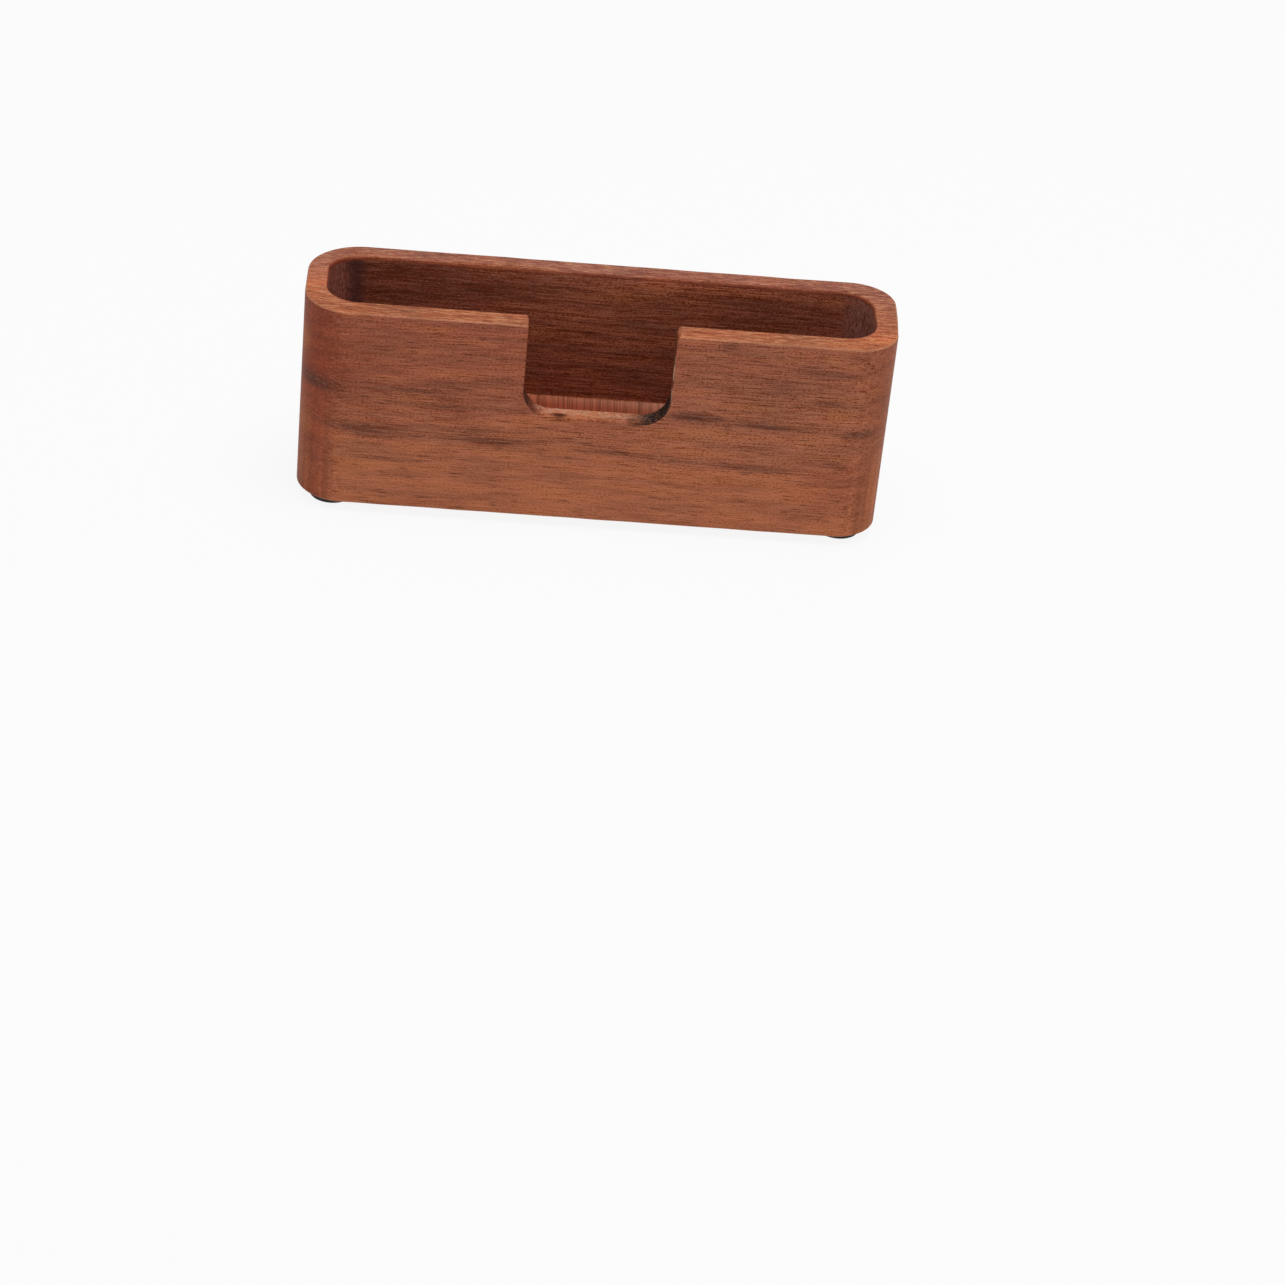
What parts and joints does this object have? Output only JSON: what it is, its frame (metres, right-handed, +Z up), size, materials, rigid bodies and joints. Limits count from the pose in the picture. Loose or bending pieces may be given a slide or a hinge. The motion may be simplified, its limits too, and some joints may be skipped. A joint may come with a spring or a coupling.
{
  "type": "business card box",
  "caption": "Open-top walnut desk box, milled from one block, with a rounded pocket for a stack of business cards, a thumb notch in the front wall and round rubber feet.",
  "frame": {"origin": "on the desk, in the plane of the feet's undersides, under the middle of the box", "axes": "+X along the length to the right as seen from the front, +Y to the back, +Z up; the thumb notch faces -Y"},
  "size_m": [0.105, 0.027, 0.0398],
  "materials": {
    "oiled_walnut": "milled and sanded, thin oil finish, satin; darker scorch marks from the cutter in the notch corners",
    "black_rubber": "moulded, matte black",
    "adhesive_film": "double-sided adhesive film on a thin carrier, milky"
  },
  "bodies": {
    "root": {"wooden_body": "oiled_walnut", "foot_front_left": "black_rubber", "foot_front_right": "black_rubber", "foot_rear_left": "black_rubber", "foot_rear_right": "black_rubber", "adhesive_front_left": "adhesive_film", "adhesive_front_right": "adhesive_film", "adhesive_rear_left": "adhesive_film", "adhesive_rear_right": "adhesive_film"}
  },
  "joints": []
}
